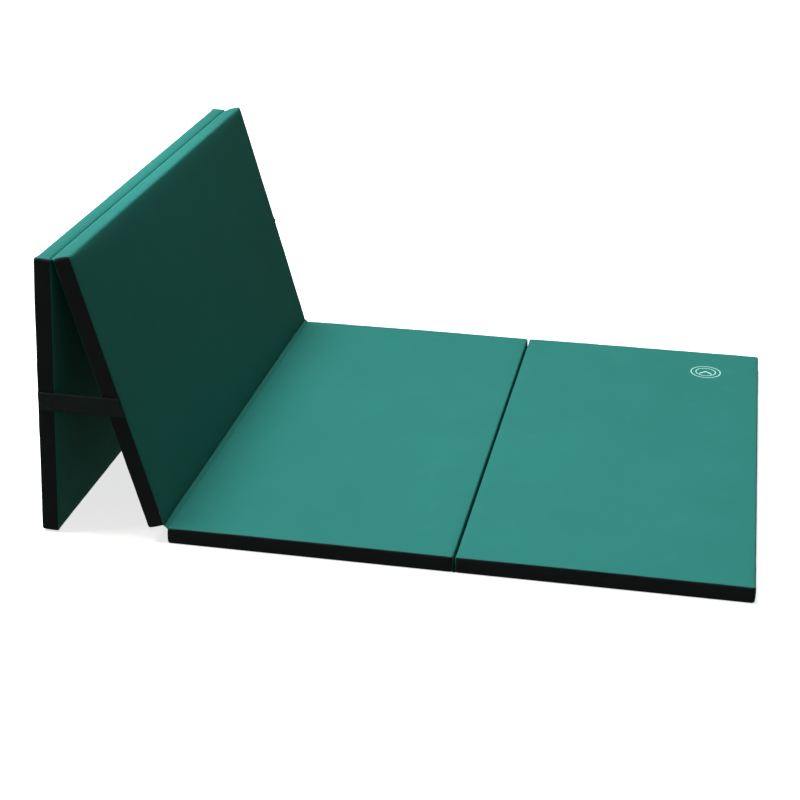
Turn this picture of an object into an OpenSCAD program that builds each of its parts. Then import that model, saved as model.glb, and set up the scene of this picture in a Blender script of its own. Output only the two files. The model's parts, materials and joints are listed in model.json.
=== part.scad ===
// Folding gym mat: four foam panels in vinyl covers, joined edge to edge by
// fabric strips, so that the mat folds like an accordion.  It stands half
// folded: panels 3 and 4 lie flat, and panels 1 and 2 are propped up as an
// A-frame that a webbing strap ties at each side.
// X runs along the open mat, Y across it and Z up.  The origin is on the
// floor, under the middle of the mat as it stands.

/* [Panels] */
// Width of the mat, across the folds
mat_w = 1220; // [900:10:1500]
// Length of each of the two middle panels
panel_len = 602; // [450:1:800]
// How much longer panel 1 is than they are, and how much shorter panel 4 is
end_shift = 5; // [0:1:8]
// Thickness of a panel
panel_t = 38; // [28:0.5:60]
// Radius of the rounded edges along the folds
edge_r = 5; // [2:0.5:10]

/* [Covers and foam] */
// Thickness of the teal cover sheets
skin_t = 0.6; // [0.4:0.1:1.2]
// Thickness of the black side sheets
side_t = 0.8; // [0.4:0.1:1.5]
// Room between the cover and the foam
cover_room = 0.8; // [0.5:0.1:1.5]
// Gap between the edges of two sheets that are sewn together
seam_gap = 0.2; // [0.1:0.1:0.5]

/* [Folds] */
// Gap between two panels when the mat lies flat
fold_gap = 1; // [0.5:0.1:3]
// Distance from a fold's axis to the faces that it brings together
fold_lift = 1; // [0.5:0.1:2]
// Lean of the standing end panel from the vertical, in degrees
leg_lean = 2.5; // [0:0.5:6]
// Width of the part of a fold strip that is sewn into a panel
strip_w = 30; // [15:1:45]
// Thickness of a fold strip
strip_t = 0.5; // [0.3:0.1:0.6]

/* [Straps] */
// Width of the webbing
strap_w = 40; // [25:1:45]
// Length of the webbing along its middle
strap_len = 173; // [160:1:200]
// Thickness of the webbing
strap_t = 1.6; // [1:0.1:2.5]
// Distance from the top fold to the middle of the strap, along panel 1
strap_drop = 308; // [200:1:400]
// Distance from panel 1's outer face to the strap's sewn end
strap_inset = 3.5; // [2:0.5:8]
// Length of the strap's sewn end, to the middle of its bar tack
tack_at = 14; // [8:0.5:18]
// Length of the hook patch and of the loop patch that it grips
patch_len = 30; // [15:1:32]
// Thickness of the loop patch
loop_t = 1.2; // [0.8:0.1:2]
// Thickness of the hook patch
hook_t = 1; // [0.8:0.1:2]
// Clearance between the strap's layers
layer_gap = 0.3; // [0.3:0.1:0.6]

/* [Mark] */
// Outer diameter of the round printed mark
mark_d = 76; // [40:1:120]
// Distance from the mark's middle to the mat's free end
mark_from_end = 132; // [80:1:200]
// Distance from the mark's middle to the mat's rear side
mark_from_rear = 138; // [80:1:200]

/* [Hidden] */
$fn = 64;

teal = "#378c82";
dark_teal = "#2f7a72";
black = "#15181a";
webbing = "#24282b";
foam_pale = "#d9d5c8";
foam_grey = "#b9b7b0";
print_white = "#bfe6e2";

leg_len = panel_len + end_shift;
tip_len = panel_len - end_shift;
half_w = mat_w / 2;
sheet_reach = half_w - side_t - seam_gap;
core_reach = half_w - side_t - cover_room;

// Standing pose.  The foot of panel 1 touches the floor with the rounded edge
// of its inner face, which fixes the height of the top fold and so the lean of
// panel 2.  Each fold's axis is a point [x, z], and each panel has a frame of
// its own with x along the panel from its left end and z up from its underside.
foot_reach = leg_len + fold_gap / 2 - edge_r;
top_fold_z = foot_reach * cos(leg_lean) - (fold_lift + edge_r) * sin(leg_lean) + edge_r;
low_fold_z = panel_t + fold_lift;
prop_len = panel_len + fold_gap;
prop_t = panel_t + 2 * fold_lift;
prop_lean = acos((top_fold_z - low_fold_z) / norm([prop_len, prop_t])) - atan2(prop_t, prop_len);
prop_angle = 90 - prop_lean;
leg_angle = leg_lean - 90;
top_fold_x = -prop_len * sin(prop_lean) - prop_t * cos(prop_lean);

// The left end of the standing mat is the outer edge of panel 1's foot
foot_x = top_fold_x - (leg_len + fold_gap / 2) * sin(leg_lean) - fold_lift * cos(leg_lean);
left_x = foot_x + edge_r * sin(leg_lean) - (panel_t - edge_r) * cos(leg_lean) - edge_r;
panel_3_x = fold_gap / 2;
panel_4_x = panel_3_x + panel_len + fold_gap;
right_x = panel_4_x + tip_len;
low_fold_x = -(left_x + right_x) / 2;

// Straps
tack_t = panel_t - strap_inset - tack_at;
strap_s = leg_len - strap_drop;
tack_x = foot_x + strap_s * sin(leg_lean) - tack_t * cos(leg_lean);
tack_z = top_fold_z - (leg_len + fold_gap / 2 - strap_s) * cos(leg_lean)
    + (fold_lift + tack_t) * sin(leg_lean);
strap_y = half_w + loop_t + layer_gap + hook_t;
loop_t_at = panel_t / 2;
loop_s_at = panel_len + fold_gap / 2
    - (tack_z - low_fold_z + (fold_lift + panel_t - loop_t_at) * sin(prop_lean)) / cos(prop_lean);
loop_x = -(panel_len + fold_gap / 2 - loop_s_at) * sin(prop_lean)
    - (fold_lift + panel_t - loop_t_at) * cos(prop_lean);
hook_x = loop_x - tack_x;
base_w = strap_w - 6;
patch_w = strap_w - 4;

function length_of(panel) = panel == 1 ? leg_len : panel == 4 ? tip_len : panel_len;

// Frames

module on_panel(panel) {
    if (panel == 1) {
        translate([low_fold_x + top_fold_x, 0, top_fold_z])
            rotate([0, leg_angle, 0])
            translate([-(leg_len + fold_gap / 2), 0, fold_lift])
            children();
    } else if (panel == 2) {
        translate([low_fold_x, 0, low_fold_z])
            rotate([0, prop_angle, 0])
            translate([-(panel_len + fold_gap / 2), 0, -low_fold_z])
            children();
    } else if (panel == 3) {
        translate([low_fold_x + panel_3_x, 0, 0])
            children();
    } else {
        translate([low_fold_x + panel_4_x, 0, 0])
            children();
    }
}

// The strap's frame is level, with its origin at the bar tack on panel 1
module on_strap() {
    translate([low_fold_x + tack_x, 0, tack_z])
        children();
}

// Draws what is modelled at the front, or its mirror image at the rear
module at_side(side) {
    if (side == "front")
        children();
    else
        mirror([0, 1, 0])
            children();
}

// Panels

// Long section of a panel, drawn in by inset all round
module rounded_outline(length, inset) {
    r = edge_r - min(inset, edge_r - 1);
    half_x = length / 2 - inset;
    half_z = panel_t / 2 - inset;
    translate([length / 2, panel_t / 2])
        union() {
            square([2 * half_x, 2 * (half_z - r)], center = true);
            square([2 * (half_x - r), 2 * half_z], center = true);
            for (x = [-1, 1], z = [-1, 1])
                translate([x * (half_x - r), z * (half_z - r)])
                circle(r = r);
        }
}

// Extrudes an outline in a panel's long section from y = start to y = stop
module across(start, stop) {
    translate([0, stop, 0])
        rotate([90, 0, 0])
        linear_extrude(height = stop - start)
        children();
}

module sheet_ring(length) {
    difference() {
        rounded_outline(length, 0);
        rounded_outline(length, skin_t);
    }
}

// Top sheet, wrapped down over both ends of the panel
module cover(panel) {
    color(teal)
        on_panel(panel)
        across(-sheet_reach, sheet_reach)
        intersection() {
            sheet_ring(length_of(panel));
            translate([0, edge_r + seam_gap / 2])
            square([length_of(panel), panel_t]);
        }
}

// Bottom sheet, turned up round the two bottom edges to meet the cover
module underside(panel) {
    color(dark_teal)
        on_panel(panel)
        across(-sheet_reach, sheet_reach)
        intersection() {
            sheet_ring(length_of(panel));
            square([length_of(panel), edge_r - seam_gap / 2]);
        }
}

module side_sheet(panel, side) {
    color(black)
        on_panel(panel)
        at_side(side)
        across(-half_w, side_t - half_w)
        rounded_outline(length_of(panel), 0);
}

// The foam is two layers laminated at half thickness
module foam(panel, layer) {
    inset = skin_t + cover_room;
    color(layer == "top" ? foam_pale : foam_grey)
        on_panel(panel)
        across(-core_reach, core_reach)
        intersection() {
            rounded_outline(length_of(panel), inset);
            translate([0, layer == "top" ? panel_t / 2 : 0])
            square([length_of(panel), panel_t / 2]);
        }
}

// Fold strips: the part of each strip that is sewn in under a panel's sheet.
// end is the end of the panel that the strip is at, and face the sheet.
module fold_strip(panel, end, face) {
    under = skin_t + (cover_room - strip_t) / 2;
    x = end == "left" ? edge_r : length_of(panel) - edge_r - strip_w;
    z = face == "top" ? panel_t - under - strip_t : under;
    color(dark_teal)
        on_panel(panel)
        translate([x, -core_reach, z])
        cube([strip_w, 2 * core_reach, strip_t]);
}

// Straps

// Webbing, cut off at its free end along the slope of panel 2
module strap(side) {
    slant = strap_w / 2 * tan(prop_lean);
    left = -tack_at;
    right = strap_len - tack_at;
    color(webbing)
        on_strap()
        at_side(side)
        across(-strap_y - strap_t, -strap_y)
        polygon([
            [left, -strap_w / 2], [right + slant, -strap_w / 2],
            [right - slant, strap_w / 2], [left, strap_w / 2]
        ]);
}

// Doubling patch that the strap's bar tack is sewn through
module strap_base(side) {
    base_len = 2 * (tack_at - 2);
    thickness = loop_t + hook_t;
    color(webbing)
        on_panel(1)
        at_side(side)
        translate([strap_s - base_w / 2, -half_w - thickness, tack_t - base_len / 2])
        cube([base_w, thickness, base_len]);
}

module hook_patch(side) {
    color(black)
        on_strap()
        at_side(side)
        translate([hook_x - patch_len / 2, -strap_y, -patch_w / 2])
        cube([patch_len, hook_t, patch_w]);
}

module loop_patch(side) {
    color(webbing)
        on_panel(2)
        at_side(side)
        translate([loop_s_at - patch_w / 2, -half_w - loop_t, loop_t_at - patch_len / 2])
        cube([patch_w, loop_t, patch_len]);
}

// Plain printed mark: two rings round a chevron
module round_mark() {
    ink_t = 0.2;
    ring_w = mark_d / 26;
    inner_d = mark_d * 0.68;
    arm = mark_d / 5;
    color(print_white)
        on_panel(4)
        translate([tip_len - mark_from_end, half_w - mark_from_rear, panel_t])
        linear_extrude(height = ink_t) {
            difference() {
                circle(d = mark_d);
                circle(d = mark_d - 2 * ring_w);
            }
            difference() {
                circle(d = inner_d);
                circle(d = inner_d - 2 * ring_w);
            }
            polygon([
                [-arm, -arm / 2], [0, arm / 2], [arm, -arm / 2],
                [arm, -arm], [0, 0], [-arm, -arm]
            ]);
        }
}

foam(1, "base");  // panel_1_foam_base
foam(1, "top");  // panel_1_foam_top
cover(1);  // panel_1_cover
underside(1);  // panel_1_underside
side_sheet(1, "front");  // panel_1_side_front
side_sheet(1, "rear");  // panel_1_side_rear
foam(2, "base");  // panel_2_foam_base
foam(2, "top");  // panel_2_foam_top
cover(2);  // panel_2_cover
underside(2);  // panel_2_underside
side_sheet(2, "front");  // panel_2_side_front
side_sheet(2, "rear");  // panel_2_side_rear
foam(3, "base");  // panel_3_foam_base
foam(3, "top");  // panel_3_foam_top
cover(3);  // panel_3_cover
underside(3);  // panel_3_underside
side_sheet(3, "front");  // panel_3_side_front
side_sheet(3, "rear");  // panel_3_side_rear
foam(4, "base");  // panel_4_foam_base
foam(4, "top");  // panel_4_foam_top
cover(4);  // panel_4_cover
underside(4);  // panel_4_underside
side_sheet(4, "front");  // panel_4_side_front
side_sheet(4, "rear");  // panel_4_side_rear
fold_strip(1, "right", "base");  // fold_1_2_strip_on_1
fold_strip(2, "left", "base");  // fold_1_2_strip_on_2
fold_strip(2, "right", "top");  // fold_2_3_strip_on_2
fold_strip(3, "left", "top");  // fold_2_3_strip_on_3
fold_strip(3, "right", "base");  // fold_3_4_strip_on_3
fold_strip(4, "left", "base");  // fold_3_4_strip_on_4
strap("front");  // strap_front
strap("rear");  // strap_rear
strap_base("front");  // strap_base_front
strap_base("rear");  // strap_base_rear
hook_patch("front");  // hook_patch_front
hook_patch("rear");  // hook_patch_rear
loop_patch("front");  // loop_patch_front
loop_patch("rear");  // loop_patch_rear
round_mark();
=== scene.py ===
# Folding gym mat: four padded panels in teal vinyl with black sides, joined by
# fabric fold strips, with the left pair propped up and tied by webbing straps.
# Each panel is made lying flat in its own frame, x along the panel from its left
# end, y across the mat and z up from its underside, and is then put in place.
import json
import math
import bmesh
import bpy
import numpy as np
from mathutils import Matrix, Vector, noise


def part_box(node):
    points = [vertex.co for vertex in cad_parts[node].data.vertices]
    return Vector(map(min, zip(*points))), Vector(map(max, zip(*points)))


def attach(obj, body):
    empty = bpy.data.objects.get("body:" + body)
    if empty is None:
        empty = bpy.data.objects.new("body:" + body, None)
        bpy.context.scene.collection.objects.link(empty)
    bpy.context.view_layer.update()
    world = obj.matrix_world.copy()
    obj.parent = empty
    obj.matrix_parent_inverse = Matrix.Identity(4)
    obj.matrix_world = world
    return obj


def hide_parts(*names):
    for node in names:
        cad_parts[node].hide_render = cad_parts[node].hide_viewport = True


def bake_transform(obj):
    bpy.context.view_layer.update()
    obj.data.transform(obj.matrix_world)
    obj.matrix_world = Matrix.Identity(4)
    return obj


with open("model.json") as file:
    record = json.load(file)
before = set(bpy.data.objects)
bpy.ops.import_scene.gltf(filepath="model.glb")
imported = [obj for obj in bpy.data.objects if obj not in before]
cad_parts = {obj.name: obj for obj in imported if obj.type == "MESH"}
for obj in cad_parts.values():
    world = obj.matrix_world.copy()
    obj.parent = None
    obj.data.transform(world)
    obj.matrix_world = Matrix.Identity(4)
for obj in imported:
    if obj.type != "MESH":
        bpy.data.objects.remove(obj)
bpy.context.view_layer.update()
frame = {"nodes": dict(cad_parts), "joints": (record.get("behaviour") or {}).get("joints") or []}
scene = bpy.context.scene

# Camera

camera = {
    "location": (0.5965, -3.6303, 1.7143),
    "forward": (-0.1702, 0.9003, -0.4007),
    "up": (-0.0851, 0.3917, 0.9162),
    "lens": 77.87,
}


def makeCamera():
    forward = Vector(camera["forward"]).normalized()
    right = forward.cross(Vector(camera["up"])).normalized()
    up = right.cross(forward)
    data = bpy.data.cameras.new("camera")
    data.lens = camera["lens"]
    data.clip_end = 200
    cam = bpy.data.objects.new("camera", data)
    turn = Matrix((right, up, -forward)).transposed().to_4x4()
    cam.matrix_world = Matrix.Translation(camera["location"]) @ turn
    scene.collection.objects.link(cam)
    scene.camera = cam


makeCamera()
scene.view_settings.view_transform = "Standard"
print("camera done")

# Shader kit


class Signal:
    # A socket in a material's tree, so that maths can be written as Python
    def __init__(self, tree, socket=None):
        self.tree = tree
        self.socket = socket

    def link(self, target, value):
        if isinstance(value, Signal):
            self.tree.links.new(value.socket, target)
        else:
            target.default_value = value

    def node(self, kind, settings=None, inputs=None, output=0):
        made = self.tree.nodes.new(kind)
        settings = dict(settings or {})
        stops = settings.pop("stops", None)
        for name, value in settings.items():
            setattr(made, name, value)
        if stops:
            ramp = made.color_ramp
            while len(ramp.elements) < len(stops):
                ramp.elements.new(0.5)
            for element, (place, shade) in zip(ramp.elements, stops):
                element.position = place
                element.color = (shade, shade, shade, 1)
        for name, value in (inputs or {}).items():
            self.link(made.inputs[name], value)
        return Signal(self.tree, made.outputs[output])

    def maths(self, operation, first, second=0.0):
        return self.node("ShaderNodeMath", {"operation": operation}, {0: first, 1: second})

    def __add__(self, other):
        return self.maths("ADD", self, other)

    __radd__ = __add__

    def __sub__(self, other):
        return self.maths("SUBTRACT", self, other)

    def __rsub__(self, other):
        return self.maths("SUBTRACT", other, self)

    def __mul__(self, other):
        return self.maths("MULTIPLY", self, other)

    __rmul__ = __mul__

    def blendColours(self, first, second):
        # self is the share of the second colour
        inputs = {0: self, 6: first, 7: second}
        return self.node("ShaderNodeMix", {"data_type": "RGBA"}, inputs, output=2)

    def bump(self, strength, distance):
        inputs = {"Height": self, "Strength": strength, "Distance": distance}
        return self.node("ShaderNodeBump", None, inputs)


def newMaterial(name, fixed):
    # fixed holds the shader's own unvarying sockets
    material = bpy.data.materials.new(name)
    material.use_nodes = True
    tree = material.node_tree
    shader = tree.nodes["Principled BSDF"]
    for socket, value in fixed.items():
        shader.inputs[socket].default_value = value
    start = Signal(tree)
    place = start.node("ShaderNodeTexCoord", output=3)   # object coordinates
    return material, shader, start, place


def cloudy(place, scale, detail=3.0, roughness=0.55):
    inputs = {"Vector": place, "Scale": scale, "Detail": detail, "Roughness": roughness}
    return place.node("ShaderNodeTexNoise", None, inputs)


def soften(value, low, high):
    # 0 below low and 1 above high, in between a smooth rise
    stops = [(low, 0.0), (high, 1.0)]
    return value.node("ShaderNodeValToRGB", {"stops": stops}, {0: value})


def rgba(colour, level=1.0):
    return (colour[0] * level, colour[1] * level, colour[2] * level, 1)


# Materials

vinylLooks = {
    "grain": 900.0,        # pebbles per metre
    "grainDepth": 0.00006,
    "ripple": 26.0,        # soft unevenness of the foam below, per metre
    "rippleDepth": 0.0006,
}


def makeVinyl(name, colour, dust, roughness, gloss):
    material, shader, start, place = newMaterial(name, {"Specular IOR Level": gloss})
    pebbles = start.node("ShaderNodeTexVoronoi", {"feature": "SMOOTH_F1"}, {
        "Vector": place, "Scale": vinylLooks["grain"], "Smoothness": 0.6})
    patches = cloudy(place, 5.0)
    specks = cloudy(place, 60.0, 4.0)
    rubs = soften(cloudy(place, 14.0, 6.0, 0.7), 0.56, 0.78)
    tone = patches.blendColours(rgba(colour, 0.93), rgba(colour, 1.07))
    tone = (specks * 0.16).blendColours(tone, rgba(colour, 0.82))
    tone = (rubs * 0.10).blendColours(tone, rgba(dust))
    rough = roughness + (patches - 0.5) * 0.10 + (specks - 0.5) * 0.08 + rubs * 0.10
    ripple = cloudy(place, vinylLooks["ripple"], 2.0, 0.4)
    soft = ripple.bump(0.35, vinylLooks["rippleDepth"])
    fine = pebbles.node("ShaderNodeBump", None, {
        "Height": pebbles,
        "Strength": 0.35,
        "Distance": vinylLooks["grainDepth"],
        "Normal": soft,
    })
    start.link(shader.inputs["Base Color"], tone)
    start.link(shader.inputs["Roughness"], rough)
    start.link(shader.inputs["Normal"], fine)
    return material


def makeWebbing():
    looks = {"colour": (0.040, 0.052, 0.060), "worn": (0.052, 0.062, 0.070), "rib": 0.0028}
    material, shader, start, place = newMaterial("webbing", {
        "Specular IOR Level": 0.04,
        "Sheen Weight": 0.03,
        "Sheen Roughness": 0.5,
    })
    parts = [start.node("ShaderNodeSeparateXYZ", None, {0: place}, output=axis) for axis in range(3)]
    turn = math.tau / looks["rib"]
    ribs = start.maths("SINE", parts[0] * turn)
    picks = start.maths("SINE", parts[2] * (turn * 1.4))
    weave = ribs * picks * 0.5 + 0.5
    fuzz = cloudy(place, 700.0, 4.0)
    worn = soften(cloudy(place, 40.0, 5.0, 0.7), 0.52, 0.75)
    tone = (weave * 0.6).blendColours(rgba(looks["colour"], 0.6), rgba(looks["colour"], 1.25))
    tone = (worn * 0.35).blendColours(tone, rgba(looks["worn"]))
    start.link(shader.inputs["Base Color"], tone)
    start.link(shader.inputs["Roughness"], 0.72 + fuzz * 0.16)
    start.link(shader.inputs["Normal"], (weave + fuzz * 0.5).bump(0.6, 0.0003))
    return material


def makeHookTape(name, colour, pitch, depth):
    material, shader, start, place = newMaterial(name, {"Specular IOR Level": 0.3})
    tufts = start.node("ShaderNodeTexVoronoi", {"feature": "F1"}, {
        "Vector": place, "Scale": 1.0 / pitch, "Randomness": 0.35})
    fuzz = cloudy(place, 1200.0, 4.0)
    tone = tufts.blendColours(rgba(colour, 1.5), rgba(colour, 0.4))
    start.link(shader.inputs["Base Color"], tone)
    start.link(shader.inputs["Roughness"], 0.75 + fuzz * 0.2)
    start.link(shader.inputs["Normal"], (1 - tufts + fuzz * 0.3).bump(0.8, depth))
    return material


def makeCells(name, colour):
    material, shader, start, place = newMaterial(name, {"Specular IOR Level": 0.2})
    cells = start.node("ShaderNodeTexVoronoi", {"feature": "F1"}, {"Vector": place, "Scale": 420.0})
    patches = cloudy(place, 9.0)
    tone = (patches * 0.5).blendColours(rgba(colour), rgba(colour, 0.82))
    tone = (soften(cells, 0.2, 0.7) * 0.25).blendColours(tone, rgba(colour, 0.6))
    start.link(shader.inputs["Base Color"], tone)
    start.link(shader.inputs["Roughness"], 0.86 + patches * 0.1)
    start.link(shader.inputs["Normal"], (1 - cells).bump(0.5, 0.0006))
    return material


def makeInk():
    looks = {"colour": (0.36, 0.66, 0.62), "cracked": (0.08, 0.32, 0.29)}
    material, shader, start, place = newMaterial("printInk", {"Specular IOR Level": 0.4})
    wear = soften(cloudy(place, 320.0, 5.0, 0.75), 0.60, 0.72)
    start.link(shader.inputs["Base Color"],
               (wear * 0.6).blendColours(rgba(looks["colour"]), rgba(looks["cracked"])))
    start.link(shader.inputs["Roughness"], 0.45 + wear * 0.2)
    start.link(shader.inputs["Normal"], cloudy(place, 900.0).bump(0.3, 0.00005))
    return material


def makeFloor(name, glow):
    material, shader, start, place = newMaterial(name, {
        "Specular IOR Level": 0.1,
        "Emission Color": (1, 1, 1, 1),
        "Emission Strength": glow,
    })
    patches = cloudy(place, 1.5)
    start.link(shader.inputs["Base Color"],
               patches.blendColours((0.785, 0.785, 0.785, 1), (0.800, 0.800, 0.800, 1)))
    start.link(shader.inputs["Roughness"], 0.9 + patches * 0.05)
    return material


finishes = {
    "teal": makeVinyl("tealVinyl", (0.0245, 0.174, 0.153), (0.10, 0.28, 0.25), 0.52, 0.03),
    "tealBack": makeVinyl("tealVinylBack", (0.024, 0.176, 0.157), (0.10, 0.27, 0.24), 0.55, 0.03),
    "black": makeVinyl("blackVinyl", (0.0235, 0.0300, 0.0325), (0.038, 0.045, 0.045), 0.52, 0.02),
    "strip": makeVinyl("foldFabric", (0.032, 0.205, 0.183), (0.12, 0.30, 0.27), 0.56, 0.03),
    "foamGrey": makeCells("foamGrey", (0.48, 0.47, 0.45)),
    "foamPale": makeCells("foamPale", (0.69, 0.66, 0.58)),
    "webbing": makeWebbing(),
    "hook": makeHookTape("hookTape", (0.012, 0.012, 0.013), 0.0016, 0.0006),
    "loop": makeHookTape("loopTape", (0.016, 0.017, 0.018), 0.0007, 0.0004),
    "thread": makeHookTape("thread", (0.030, 0.034, 0.035), 0.0009, 0.0002),
    "ink": makeInk(),
    "floor": makeFloor("floorPaint", 0.74),
    "backdrop": makeFloor("backdropPaint", 1.0),
}
print("materials done")

# Places from the frame

joints = {joint["name"]: joint for joint in frame["joints"]}
bases = {
    3: (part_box("panel_3_underside")[0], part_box("panel_3_cover")[1]),
    4: (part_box("panel_4_underside")[0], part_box("panel_4_cover")[1]),
}
panelLength = {panel: high.x - low.x for panel, (low, high) in bases.items()}
panelLength[2] = panelLength[3]
panelLength[1] = 2 * panelLength[3] - panelLength[4]   # as much longer as panel 4 is shorter
panelThick = bases[3][1].z - bases[3][0].z
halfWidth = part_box("panel_3_side_rear")[1].y
foldGap = bases[4][0].x - bases[3][1].x
lowFold = Vector(joints["fold_2_3"]["pos_m"])
topFold = Vector(joints["fold_1_2"]["pos_m"])
foldLift = lowFold.z - panelThick
propAngle = math.radians(-joints["fold_2_3"]["range_deg"][0])
legAngle = propAngle - math.radians(joints["fold_1_2"]["range_deg"][1])
slopeTan = math.tan(math.pi / 2 - propAngle)


def panelPlace(panel):
    # Where a panel's own frame stands in the room
    if panel > 2:
        return Matrix.Translation((bases[panel][0].x, 0, 0))
    axis = lowFold if panel == 2 else topFold
    turn = Matrix.Rotation(propAngle if panel == 2 else legAngle, 4, "Y")
    offset = (-(panelLength[panel] + foldGap / 2), 0, -panelThick - foldLift if panel == 2 else foldLift)
    return Matrix.Translation(axis) @ turn @ Matrix.Translation(offset)


# Mesh helpers


def newPiece(name, verts, faces, material, smooth=True):
    mesh = bpy.data.meshes.new(name)
    mesh.from_pydata([tuple(v) for v in verts], [], faces)
    mesh.materials.append(material)
    mesh.shade_smooth() if smooth else mesh.shade_flat()
    obj = bpy.data.objects.new(name, mesh)
    scene.collection.objects.link(obj)
    return obj


def points(mesh):
    flat = np.empty(len(mesh.vertices) * 3)
    mesh.vertices.foreach_get("co", flat)
    return flat.reshape(-1, 3)


def setPoints(mesh, co):
    mesh.vertices.foreach_set("co", np.asarray(co, dtype=float).ravel())
    mesh.update()


def applyModifiers(obj):
    # The modifiers' result becomes the piece's own mesh
    depsgraph = bpy.context.evaluated_depsgraph_get()
    mesh = bpy.data.meshes.new_from_object(obj.evaluated_get(depsgraph))
    obj.modifiers.clear()
    obj.data = mesh


def thicken(obj, thickness):
    shell = obj.modifiers.new("thickness", "SOLIDIFY")
    shell.thickness = thickness
    shell.offset = -1
    applyModifiers(obj)


def gridLine(length, edgeSteps, step):
    # Marks along a line that are closest near both ends
    near = np.array(edgeSteps)
    count = max(1, round((length - 2 * near[-1]) / step))
    middle = np.linspace(near[-1], length - near[-1], count + 1)
    return np.concatenate([near[:-1], middle, (length - near[:-1])[::-1]])


def wander(x, y, scale, seed):
    return noise.noise(Vector((x * scale, y * scale, seed)))


# Panels

panelShape = {
    "cornerRadius": 0.008,   # of the corners seen from above
    "edgeRadius": 0.0036,
    "seamAt": 0.0010,        # grid mark of the seam, below a face
    "grooveDepth": 0.0007,   # how far a seam pulls in
    "pucker": 0.0005,
    "puckersPerMetre": 26.0,
    "dent": 0.0004,          # slow waves in the foam
    "pillowReach": 0.010,
    "pillowHeld": 0.022,     # width beside a band that mostly keeps its shape
    "pillowAtBand": 0.4,
    "gridStep": 0.016,
    "skinInset": 0.0004,
    "sheetThick": 0.0006,
    "sideThick": 0.0008,
}
# How much thinner each panel is at its folds, above and below, and its swell between
panelCrown = {
    1: {"topDip": 0.0006, "baseDip": 0.0003, "swell": 0.0003},
    2: {"topDip": 0.0003, "baseDip": 0.0003, "swell": 0.0003},
    3: {"topDip": 0.0010, "baseDip": 0.0, "swell": 0.0003},
    4: {"topDip": 0.0010, "baseDip": 0.0, "swell": 0.0003},
}
# How far the edges of each panel's left and right end draw back from the middle
panelPillow = {1: (0.0028, 0.0052), 2: (0.0052, 0.0028), 3: (0.0028, 0.0028), 4: (0.0028, 0.0028)}
panelCreases = {
    "depth": 0.0011,
    "width": 0.009,
    "lines": [
        ((0.02, -0.56), (0.10, -0.40)),
        ((0.05, -0.60), (0.17, -0.50)),
        ((0.03, -0.36), (0.08, -0.22)),
    ],
}
inflation = {
    "frames": 20,
    "pressure": 4.0,
    "slack": 0.004,          # share by which the vinyl is larger than the foam
    "faceCap": 0.0006,       # furthest that a face may move
    "wallCap": 0.0004,
}
onCover, onBase, onFront, onRear = range(4)
nearEdge = [0, 0.0010, 0.0022, 0.0036, 0.0056, 0.0080, 0.0125, 0.019, 0.029]
xMarks = {panel: gridLine(panelLength[panel], nearEdge, panelShape["gridStep"]) for panel in (1, 2, 3, 4)}
yMarks = gridLine(2 * halfWidth, nearEdge, panelShape["gridStep"])
zMarks = gridLine(panelThick, [0, 0.0005, panelShape["seamAt"], 0.0020, 0.0036, 0.0070], 0.0065)
seamMark = 2


def boxLattice():
    # The marks' points on all six faces of a box, and its quads with what each belongs to
    nx, ny, nz = len(xMarks[3]), len(yMarks), len(zMarks)
    found = {}
    marks = []

    def corner(i, j, k):
        if (i, j, k) not in found:
            found[(i, j, k)] = len(marks)
            marks.append((i, j, k))
        return found[(i, j, k)]

    quads = []
    owners = []

    def addQuad(corners, owner):
        quads.append([corner(*c) for c in corners])
        owners.append(owner)

    for i in range(nx - 1):
        for j in range(ny - 1):
            top = nz - 1
            addQuad([(i, j, top), (i + 1, j, top), (i + 1, j + 1, top), (i, j + 1, top)], onCover)
            addQuad([(i, j, 0), (i, j + 1, 0), (i + 1, j + 1, 0), (i + 1, j, 0)], onBase)
    for k in range(nz - 1):
        low = k < seamMark
        high = k >= nz - 1 - seamMark
        for i in range(nx - 1):
            rear = ny - 1
            addQuad([(i, 0, k), (i + 1, 0, k), (i + 1, 0, k + 1), (i, 0, k + 1)],
                    onBase if low else onCover if high else onFront)
            addQuad([(i, rear, k), (i, rear, k + 1), (i + 1, rear, k + 1), (i + 1, rear, k)],
                    onBase if low else onCover if high else onRear)
        for j in range(ny - 1):
            right = nx - 1
            addQuad([(0, j, k), (0, j, k + 1), (0, j + 1, k + 1), (0, j + 1, k)],
                    onBase if low else onCover)
            addQuad([(right, j, k), (right, j + 1, k), (right, j + 1, k + 1), (right, j, k + 1)],
                    onBase if low else onCover)
    return np.array(marks), quads, owners


latticeMarks, latticeQuads, latticeOwners = boxLattice()


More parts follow.
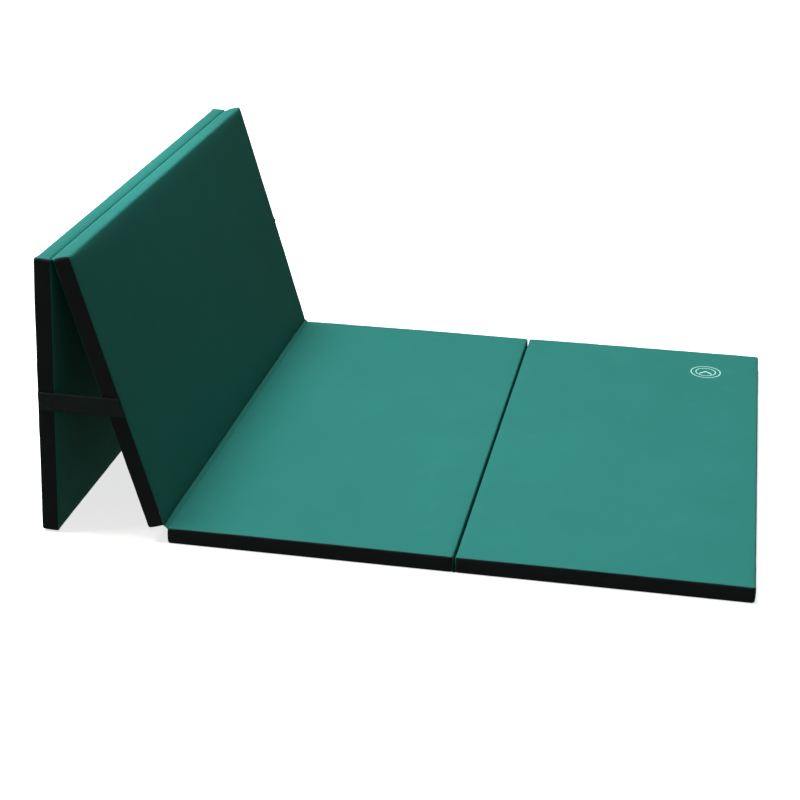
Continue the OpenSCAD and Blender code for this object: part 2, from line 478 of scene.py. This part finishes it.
def roundedShell(panel, inset):
    # Box points drawn on to rounded corners and edges, with their outward directions
    half = np.array([panelLength[panel] / 2, halfWidth, panelThick / 2])
    p = np.stack([
        xMarks[panel][latticeMarks[:, 0]] - half[0],
        yMarks[latticeMarks[:, 1]] - half[1],
        zMarks[latticeMarks[:, 2]] - half[2],
    ], axis=1)
    corner = panelShape["cornerRadius"]
    edge = panelShape["edgeRadius"]
    core = np.clip(p[:, :2], -(half[:2] - corner), half[:2] - corner)
    away = p[:, :2] - core
    reach = np.abs(away).max(axis=1)
    along = away / np.maximum(np.linalg.norm(away, axis=1), 1e-9)[:, None]
    outward = np.maximum(reach - (corner - edge), 0)
    upward = np.maximum(np.abs(p[:, 2]) - (half[2] - edge), 0)
    both = np.hypot(outward, upward)
    pull = np.where((outward > 0) & (upward > 0), np.maximum(outward, upward) / np.maximum(both, 1e-9), 1)
    outward = outward * pull
    upward = upward * pull
    radial = np.minimum(reach, corner - edge) + outward
    shell = np.empty_like(p)
    shell[:, :2] = core + along * radial[:, None]
    sign = np.sign(p[:, 2])
    shell[:, 2] = sign * (np.minimum(np.abs(p[:, 2]), half[2] - edge) + upward)
    normal = np.concatenate([along * outward[:, None], (sign * upward)[:, None]], axis=1)
    normal /= np.maximum(np.linalg.norm(normal, axis=1), 1e-9)[:, None]
    shell -= normal * inset
    shell += half * [1, 0, 1]
    return shell, normal


def seamPoints():
    # Lattice points where two of a panel's sheets are sewn together
    owners = [set() for mark in latticeMarks]
    for quad, owner in zip(latticeQuads, latticeOwners):
        for v in quad:
            owners[v].add(owner)
    return np.array([len(found) > 1 for found in owners])


onSeam = seamPoints()


def crowned(shell, panel):
    # Thins a panel towards its folds and lets its faces swell a little between them
    crown = panelCrown[panel]
    across = np.clip(np.abs(shell[:, 1]) / halfWidth, 0, 1)
    length = panelLength[panel]
    along = np.clip(np.abs(2 * shell[:, 0] / length - 1), 0, 1)
    rise = (1 - along ** 2) * (1 - across ** 6)
    share = shell[:, 2] / panelThick
    top = crown["swell"] * rise - crown["topDip"] * along ** 2
    base = -crown["swell"] * rise * (crown["baseDip"] > 0) + crown["baseDip"] * along ** 2
    shell[:, 2] += top * share + base * (1 - share)
    # The fold ends are pillows, but for their corners, which the side bands hold flat
    toEnd = np.minimum(shell[:, 0], length - shell[:, 0])
    side = np.sign(length / 2 - shell[:, 0])
    height = 2 * share - 1
    held = np.clip((halfWidth - np.abs(shell[:, 1])) / panelShape["pillowHeld"], 0, 1)
    atBand = panelShape["pillowAtBand"]
    pillow = np.where(side > 0, *panelPillow[panel]) * (atBand + (1 - atBand) * held * held * (3 - 2 * held))
    pillow *= np.exp(-toEnd / panelShape["pillowReach"])
    shell[:, 0] += side * pillow * np.abs(height) ** 3
    flatBase = (panel > 2) & (height < 0)
    shell[:, 2] -= np.where(flatBase, 0, 0.4 * pillow * np.sign(height) * height ** 2)
    return shell


def unevenness(shell, normal, panel):
    # Slow dents in the faces, and puckers where the seams pull
    offset = np.zeros(len(shell))
    nearSide = np.exp(-(halfWidth - np.abs(shell[:, 1])) / 0.012)
    toEnd = np.minimum(shell[:, 0], panelLength[panel] - shell[:, 0])
    nearEnd = np.exp(-toEnd / 0.010)
    for index, (x, y, z) in enumerate(shell):
        face = abs(normal[index, 2])
        seed = panel * 7.3 + (3.1 if z > panelThick / 2 else 0)
        wave = wander(x, y, 7.0, seed) + 0.5 * wander(x, y, 19.0, seed + 1)
        bite = wander(x, 0, panelShape["puckersPerMetre"], seed + 2) * nearSide[index]
        bite += wander(0, y, panelShape["puckersPerMetre"], seed + 4) * nearEnd[index]
        offset[index] = panelShape["dent"] * wave * face + panelShape["pucker"] * bite
        if onSeam[index]:
            offset[index] = -panelShape["grooveDepth"] * (1 + 0.5 * wander(x, y, 40.0, seed))
    if panel > 2:
        offset *= np.where(normal[:, 2] < -0.5, 0, 1)
    return offset


def creases(shell, normal):
    # Faint slanting creases low on the leaning panel's inner face
    offset = np.zeros(len(shell))
    for (x0, y0), (x1, y1) in panelCreases["lines"]:
        start = np.array([x0, y0])
        step = np.array([x1, y1]) - start
        share = np.clip(((shell[:, :2] - start) @ step) / (step @ step), 0, 1)
        away = np.linalg.norm(shell[:, :2] - start - share[:, None] * step, axis=1)
        depth = panelCreases["depth"] * np.exp(-(away / panelCreases["width"]) ** 2)
        offset -= depth * np.sin(np.pi * np.clip(share, 0.05, 0.95))
    return offset * (normal[:, 2] < -0.9)


def inflate(obj, shell, normal, panel):
    # Blows the sewn cover up round its foam, with the seams held
    held = onSeam.copy()
    if panel > 2:
        held |= normal[:, 2] < -0.9
    group = obj.vertex_groups.new(name="seams")
    group.add([int(v) for v in np.flatnonzero(held)], 1.0, "REPLACE")
    cloth = obj.modifiers.new("cloth", "CLOTH")
    settings = cloth.settings
    settings.quality = 4
    settings.mass = 0.3
    settings.vertex_group_mass = "seams"
    settings.tension_stiffness = 20
    settings.compression_stiffness = 20
    settings.shear_stiffness = 8
    settings.bending_stiffness = 0.8
    settings.use_pressure = True
    settings.uniform_pressure_force = inflation["pressure"]
    settings.shrink_min = -inflation["slack"]
    settings.effector_weights.gravity = 0
    cloth.point_cache.frame_start = 1
    cloth.point_cache.frame_end = inflation["frames"]
    for step in range(1, inflation["frames"] + 1):
        scene.frame_set(step)
    moved = obj.evaluated_get(bpy.context.evaluated_depsgraph_get())
    result = points(moved.data)
    obj.modifiers.clear()
    scene.frame_set(1)
    shift = result - shell
    cap = np.where(np.abs(normal[:, 2]) > 0.9, inflation["faceCap"], inflation["wallCap"])
    size = np.linalg.norm(shift, axis=1)
    shift *= (cap * np.tanh(size / cap) / np.maximum(size, 1e-9))[:, None]
    print("panel", panel, "cloth moved up to", round(float(size.max()) * 1000, 1), "mm")
    return shell + shift


def split(source, name, owner, material):
    # The part of a panel's skin that one sheet makes
    mesh = source.data.copy()
    work = bmesh.new()
    work.from_mesh(mesh)
    others = [face for face in work.faces if face.material_index != owner]
    bmesh.ops.delete(work, geom=others, context="FACES")
    for face in work.faces:
        face.material_index = 0
    work.to_mesh(mesh)
    work.free()
    mesh.materials.clear()
    mesh.materials.append(material)
    obj = bpy.data.objects.new(name, mesh)
    scene.collection.objects.link(obj)
    return obj


def makePanel(panel):
    shell, normal = roundedShell(panel, panelShape["skinInset"])
    shell = crowned(shell, panel)
    offset = unevenness(shell, normal, panel)
    if panel == 1:
        offset += creases(shell, normal)
    shell += normal * offset[:, None]
    skin = newPiece("skin", shell, latticeQuads, finishes["teal"])
    for owner in (onBase, onFront, onRear):
        skin.data.materials.append(finishes["black"])
    skin.data.polygons.foreach_set("material_index", latticeOwners)
    shell = inflate(skin, shell, normal, panel)
    if panel > 2:
        shell[:, 2] = np.maximum(shell[:, 2], 0.0003)
    setPoints(skin.data, shell)
    smoother = skin.modifiers.new("smoother", "SUBSURF")
    smoother.levels = 1
    smoother.render_levels = 1
    applyModifiers(skin)
    label = "panel_%d_" % panel
    sheets = [
        (onCover, "cover", "visCover", "teal", "sheetThick"),
        (onBase, "underside", "visUnderside", "tealBack", "sheetThick"),
        (onFront, "side_front", "visSideFront", "black", "sideThick"),
        (onRear, "side_rear", "visSideRear", "black", "sideThick"),
    ]
    made = []
    for owner, node, word, finish, thickness in sheets:
        sheet = split(skin, label + word, owner, finishes[finish])
        thicken(sheet, panelShape[thickness])
        sheet.data.transform(panelPlace(panel))
        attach(sheet, label[:-1])
        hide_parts(label + node)
        made.append(sheet)
    bpy.data.objects.remove(skin)
    return made[0]


def makeFoam(panel):
    # Two laminated layers that follow the skin's shape
    inset = {"skin": 0.0022, "joinGap": 0.0001}
    shell = roundedShell(panel, inset["skin"])[0]
    shell = crowned(shell, panel)
    layers = [("foam_base", "visFoamBase", "foamGrey", -1), ("foam_top", "visFoamTop", "foamPale", 1)]
    for node, word, finish, side in layers:
        name = "panel_%d_%s" % (panel, word)
        obj = newPiece(name, shell, latticeQuads, finishes[finish])
        work = bmesh.new()
        work.from_mesh(obj.data)
        middle = panelThick / 2 + side * inset["joinGap"]
        everything = work.verts[:] + work.edges[:] + work.faces[:]
        cut = bmesh.ops.bisect_plane(work, geom=everything, plane_co=(0, 0, middle),
                                     plane_no=(0, 0, -side), clear_outer=True)
        rim = [item for item in cut["geom_cut"] if isinstance(item, bmesh.types.BMEdge)]
        bmesh.ops.edgeloop_fill(work, edges=rim)
        work.to_mesh(obj.data)
        work.free()
        obj.data.transform(panelPlace(panel))
        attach(obj, "panel_%d" % panel)
        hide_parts("panel_%d_%s" % (panel, node))


covers = {}
for panel in (1, 2, 3, 4):
    covers[panel] = makePanel(panel)
    makeFoam(panel)
    print("panel", panel, "done")

# Fold strips

foldStrip = {
    "sewnIn": 0.030,
    "thick": 0.0005,
    "underSkin": 0.0018,     # depth of the sewn part below the panel's face
    "sideMargin": 0.0035,
    "tabMargin": 0.0006,     # the low fold's strip shows at the sides
    "turns": 8,
}


def stripPath(panel, face, pillow):
    # One half of a strip's section in its panel's frame: along from the end, and height
    edge = panelShape["edgeRadius"]
    dip = edge * (1 - math.sqrt(0.5))
    drop = panelCrown[panel]["topDip" if face == "top" else "baseDip"]
    reach = foldStrip["sewnIn"] + edge
    depth = foldStrip["underSkin"] + drop
    steps = [(reach - foldStrip["sewnIn"] * n / 6, depth) for n in range(7)]
    steps += [(edge * 0.55, depth + 0.0005), (dip - 0.0002, dip + drop)]
    draws = [pillow * math.exp(-x / panelShape["pillowReach"]) for x, z in steps]
    sink = 0.0 if panel > 2 and face == "base" else 0.4
    steps = [(x + draw, z + sink * draw) for (x, z), draw in zip(steps, draws)]
    if face == "top":
        return [(x, panelThick - z) for x, z in steps]
    return steps


def makeStrip(name, leftPanel, rightPanel, face, axis, margin, nodes):
    # The strip runs out of the left panel, round its fold, and into the right one
    left = [panelPlace(leftPanel) @ Vector((panelLength[leftPanel] - x, 0, z))
            for x, z in stripPath(leftPanel, face, panelPillow[leftPanel][1])]
    right = [panelPlace(rightPanel) @ Vector((x, 0, z))
             for x, z in stripPath(rightPanel, face, panelPillow[rightPanel][0])]
    out, back = left[-1], right[-1]
    towards = (out + back) / 2
    bulge = (axis - towards) * 0.35
    bend = []
    for n in range(1, foldStrip["turns"]):
        share = n / foldStrip["turns"]
        bend.append(out.lerp(back, share) + bulge * math.sin(math.pi * share))
    path = left + bend + right[::-1]
    reach = halfWidth - margin
    rows = np.linspace(-reach, reach, 91)
    verts = []
    for y in rows:
        sway = 0.0003 * noise.noise(Vector((y * 9.0, 2.0, 0)))
        verts += [(p.x, y, p.z + sway) for p in path]
    count = len(path)
    faces = [[j * count + i, j * count + i + 1, (j + 1) * count + i + 1, (j + 1) * count + i]
             for j in range(len(rows) - 1) for i in range(count - 1)]
    obj = newPiece(name, verts, faces, finishes["strip"])
    thicken(obj, foldStrip["thick"])
    length = sum((b - a).length for a, b in zip(path, path[1:]))
    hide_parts(*nodes)
    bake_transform(obj)
    print(name, "flat size", round(2 * reach, 4), "x", round(length, 4))


makeStrip("fold_1_2_visStrip", 1, 2, "base", topFold, foldStrip["sideMargin"],
          ("fold_1_2_strip_on_1", "fold_1_2_strip_on_2"))
makeStrip("fold_2_3_visStrip", 2, 3, "top", lowFold, foldStrip["tabMargin"],
          ("fold_2_3_strip_on_2", "fold_2_3_strip_on_3"))
makeStrip("fold_3_4_visStrip", 3, 4, "base", Vector(joints["fold_3_4"]["pos_m"]), foldStrip["sideMargin"],
          ("fold_3_4_strip_on_3", "fold_3_4_strip_on_4"))
print("fold strips done")

# Straps

strapShape = {
    "rib": 0.0028,           # pitch of the weave's ribs
    "ribHeight": 0.00010,
    "alongStep": 0.0007,
    "acrossStep": 0.0010,
    "wave": 0.0007,          # how far the loose middle stands off
    "frontReach": 0.004,     # the front strap's longer free end
    "rearReach": -0.005,
    "stitchLength": 0.0030,
    "stitchPitch": 0.0042,
    "stitchThick": 0.0007,
    "boxInset": 0.0045,
}


def makeStrap(side):
    low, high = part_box("strap_" + side)
    outer = low.y if side == "front" else high.y
    inner = high.y if side == "front" else low.y
    outward = -1 if side == "front" else 1
    width = high.z - low.z
    ribs = round((high.x - low.x) / strapShape["alongStep"])
    rows = round(width / strapShape["acrossStep"])
    verts = []
    for layer in (0, 1):
        for j in range(rows + 1):
            z = low.z + width * j / rows
            end = high.x - (z - low.z) * slopeTan + strapShape[side + "Reach"]
            for i in range(ribs + 1):
                share = i / ribs
                x = low.x + (end - low.x) * share
                loose = strapShape["wave"] * math.sin(math.pi * min(1, max(0, (share - 0.2) / 0.55))) ** 2
                weave = math.sin(math.tau * x / strapShape["rib"]) * math.cos(math.pi * (j % 2))
                edge = min(1, min(j, rows - j) / 2, min(i, ribs - i) / 2)
                if layer == 0:
                    rib = strapShape["ribHeight"] * weave * edge
                    y = outer + outward * (loose + rib - 0.0005 * (1 - edge))
                else:
                    y = inner + outward * (loose + 0.0004 * (1 - edge))
                verts.append((x, y, z))
    count = ribs + 1
    shift = (rows + 1) * count
    faces = []
    for j in range(rows):
        for i in range(ribs):
            a = j * count + i
            quad = [a, a + 1, a + 1 + count, a + count]
            faces.append(quad if side == "front" else quad[::-1])
            back = [v + shift for v in quad]
            faces.append(back[::-1] if side == "front" else back)
    rim = list(range(count))
    rim += [j * count + ribs for j in range(1, rows + 1)]
    rim += [rows * count + i for i in range(ribs - 1, -1, -1)]
    rim += [j * count for j in range(rows - 1, 0, -1)]
    for a, b in zip(rim, rim[1:] + rim[:1]):
        quad = [a, a + shift, b + shift, b]
        faces.append(quad if side == "front" else quad[::-1])
    obj = newPiece("strap_%s_visWebbing" % side, verts, faces, finishes["webbing"])
    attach(obj, "strap_" + side)
    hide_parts("strap_" + side)
    return low, high, outer, outward


def makeStitches(name, paths, y, outward, body):
    # Short flattened stitches along straight runs, given as (x, z) ends
    verts = []
    faces = []
    half = strapShape["stitchThick"] / 2
    for (x0, z0), (x1, z1) in paths:
        run = Vector((x1 - x0, z1 - z0))
        count = max(1, round(run.length / strapShape["stitchPitch"]))
        ahead = run.normalized()
        aside = Vector((-ahead.y, ahead.x))
        for n in range(count):
            middle = Vector((x0, z0)) + run * ((n + 0.5) / count)
            rings = []
            for along, grow in ((-0.5, 0.35), (-0.3, 1.0), (0.3, 1.0), (0.5, 0.35)):
                centre = middle + ahead * (along * strapShape["stitchLength"])
                ring = []
                for turn in range(6):
                    angle = math.tau * turn / 6
                    off = aside * (math.cos(angle) * half * grow)
                    lift = math.sin(angle) * half * 0.8 * grow
                    ring.append(len(verts))
                    verts.append((centre.x + off.x, y + outward * lift, centre.y + off.y))
                rings.append(ring)
            for one, two in zip(rings, rings[1:]):
                faces += [[one[t], one[(t + 1) % 6], two[(t + 1) % 6], two[t]] for t in range(6)]
            faces.append(rings[0][::-1])
            faces.append(rings[-1])
    obj = newPiece(name, verts, faces, finishes["thread"])
    work = bmesh.new()
    work.from_mesh(obj.data)
    bmesh.ops.recalc_face_normals(work, faces=work.faces)
    work.to_mesh(obj.data)
    work.free()
    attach(obj, body)


def rectangle(x0, z0, x1, z1):
    return [((x0, z0), (x1, z0)), ((x1, z0), (x1, z1)), ((x1, z1), (x0, z1)), ((x0, z1), (x0, z0))]


for side in ("front", "rear"):
    low, high, outer, outward = makeStrap(side)
    inset = strapShape["boxInset"]
    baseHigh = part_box("strap_base_" + side)[1]
    x0, x1 = low.x + inset * 0.6, baseHigh.x - 0.001
    z0, z1 = low.z + inset, high.z - inset
    cross = [((x0, z0), (x1, z1)), ((x0, z1), (x1, z0))]
    tackRun = rectangle(x0, z0, x1, z1) + cross
    makeStitches("strap_%s_visBarTack" % side, tackRun, outer, outward, "strap_" + side)
    hookLow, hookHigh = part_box("hook_patch_" + side)
    hookRun = rectangle(hookLow.x + 0.002, hookLow.z + 0.002, hookHigh.x - 0.002, hookHigh.z - 0.002)
    makeStitches("strap_%s_visHookStitches" % side, hookRun, outer, outward, "strap_" + side)
    for node, finish in (("strap_base_", "webbing"), ("hook_patch_", "hook"), ("loop_patch_", "loop")):
        mesh = frame["nodes"][node + side].data
        mesh.materials.clear()
        mesh.materials.append(finishes[finish])
print("straps done")

# Round mark

markShape = {"ringWidth": 0.0030, "innerShare": 0.68, "armShare": 0.2, "inkTop": 0.00025, "inkBase": -0.0004}


def makeMark():
    low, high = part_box("round_mark")
    centre = (low + high) / 2
    outer = (high.x - low.x) / 2
    cover = covers[4]
    flat = []
    faces = []

    def addRing(radius):
        first = len(flat)
        turns = 96
        for n in range(turns):
            angle = math.tau * n / turns
            for r in (radius - markShape["ringWidth"], radius - markShape["ringWidth"] / 2, radius):
                flat.append((centre.x + r * math.cos(angle), centre.y + r * math.sin(angle)))
        for n in range(turns):
            for lane in (0, 1):
                a = first + n * 3 + lane
                b = first + (n + 1) % turns * 3 + lane
                faces.append([a, a + 1, b + 1, b])

    def addArm(sign):
        first = len(flat)
        arm = 2 * outer * markShape["armShare"]
        steps = 8
        for n in range(steps + 1):
            share = n / steps
            for drop in (0.0, 0.5):
                flat.append((centre.x + sign * arm * share, centre.y + arm * (0.5 - share - drop)))
        for n in range(steps):
            a = first + 2 * n
            quad = [a, a + 1, a + 3, a + 2]
            faces.append(quad if sign > 0 else quad[::-1])

    addRing(outer)
    addRing(outer * markShape["innerShare"])
    addArm(1)
    addArm(-1)
    top = []
    for x, y in flat:
        hit, place = cover.ray_cast(Vector((x, y, 1)), Vector((0, 0, -1)))[:2]
        z = place.z if hit else high.z
        top.append((x, y, z + markShape["inkTop"]))
    work = bmesh.new()
    upper = [work.verts.new(p) for p in top]
    for face in faces:
        work.faces.new([upper[v] for v in face])
    bmesh.ops.remove_doubles(work, verts=work.verts, dist=0.00001)
    mesh = bpy.data.meshes.new("round_mark_visInk")
    bmesh.ops.recalc_face_normals(work, faces=work.faces)
    work.to_mesh(mesh)
    work.free()
    mesh.materials.append(finishes["ink"])
    obj = bpy.data.objects.new("round_mark_visInk", mesh)
    scene.collection.objects.link(obj)
    thicken(obj, markShape["inkTop"] - markShape["inkBase"])
    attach(obj, "panel_4")
    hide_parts("round_mark")


makeMark()
print("mark done")

# Floor and light

room = {
    "floorHalf": 60.0,
    "floorDrop": 0.0006,
    "wallRadius": 58.0,
    "wallHeight": 80.0,
    "wallSides": 32,
    "world": 0.18,
    "sky": (1.0, 1.0, 0.82, 1),
}
sunLight = {"strength": 3.88, "spread": 22, "from": (-0.325, 0.06, 1.0)}
topBox = {"power": 12.0, "size": (0.5, 1.4), "at": (-1.10, 0.0, 1.55), "towards": (-0.68, 0.0, 0.6)}


def aim(obj, direction):
    obj.rotation_euler = Vector(direction).to_track_quat("-Z", "Y").to_euler()


def makeBackdrop():
    # A white wall all round, which only the camera sees
    verts = []
    for n in range(room["wallSides"]):
        angle = math.tau * n / room["wallSides"]
        x = room["wallRadius"] * math.cos(angle)
        y = room["wallRadius"] * math.sin(angle)
        verts += [(x, y, -1), (x, y, room["wallHeight"])]
    count = len(verts)
    faces = [[n, n + 1, (n + 3) % count, (n + 2) % count] for n in range(0, count, 2)]
    wall = newPiece("backdrop", verts, faces, finishes["backdrop"])
    wall.visible_diffuse = False
    wall.visible_glossy = False
    wall.visible_shadow = False


def makeRoom():
    half = room["floorHalf"]
    corners = [(-half, -half, 0), (half, -half, 0), (half, half, 0), (-half, half, 0)]
    floor = newPiece("floor", corners, [[0, 1, 2, 3]], finishes["floor"], smooth=False)
    floor.location.z = -room["floorDrop"]
    floor.visible_diffuse = False     # the floor lights nothing, as on a dark stage
    floor.visible_glossy = False
    world = bpy.data.worlds.new("room")
    world.use_nodes = True
    world.node_tree.nodes["Background"].inputs["Color"].default_value = room["sky"]
    world.node_tree.nodes["Background"].inputs["Strength"].default_value = room["world"]
    scene.world = world
    sun = bpy.data.lights.new("sun", "SUN")
    sun.energy = sunLight["strength"]
    sun.angle = math.radians(sunLight["spread"])
    sunObject = bpy.data.objects.new("sun", sun)
    aim(sunObject, -Vector(sunLight["from"]))
    scene.collection.objects.link(sunObject)
    box = bpy.data.lights.new("topBox", "AREA")
    box.shape = "RECTANGLE"
    box.energy = topBox["power"]
    box.size, box.size_y = topBox["size"]
    boxObject = bpy.data.objects.new("topBox", box)
    boxObject.location = topBox["at"]
    aim(boxObject, Vector(topBox["towards"]) - Vector(topBox["at"]))
    scene.collection.objects.link(boxObject)


makeBackdrop()
makeRoom()
print("room done")

print("done")
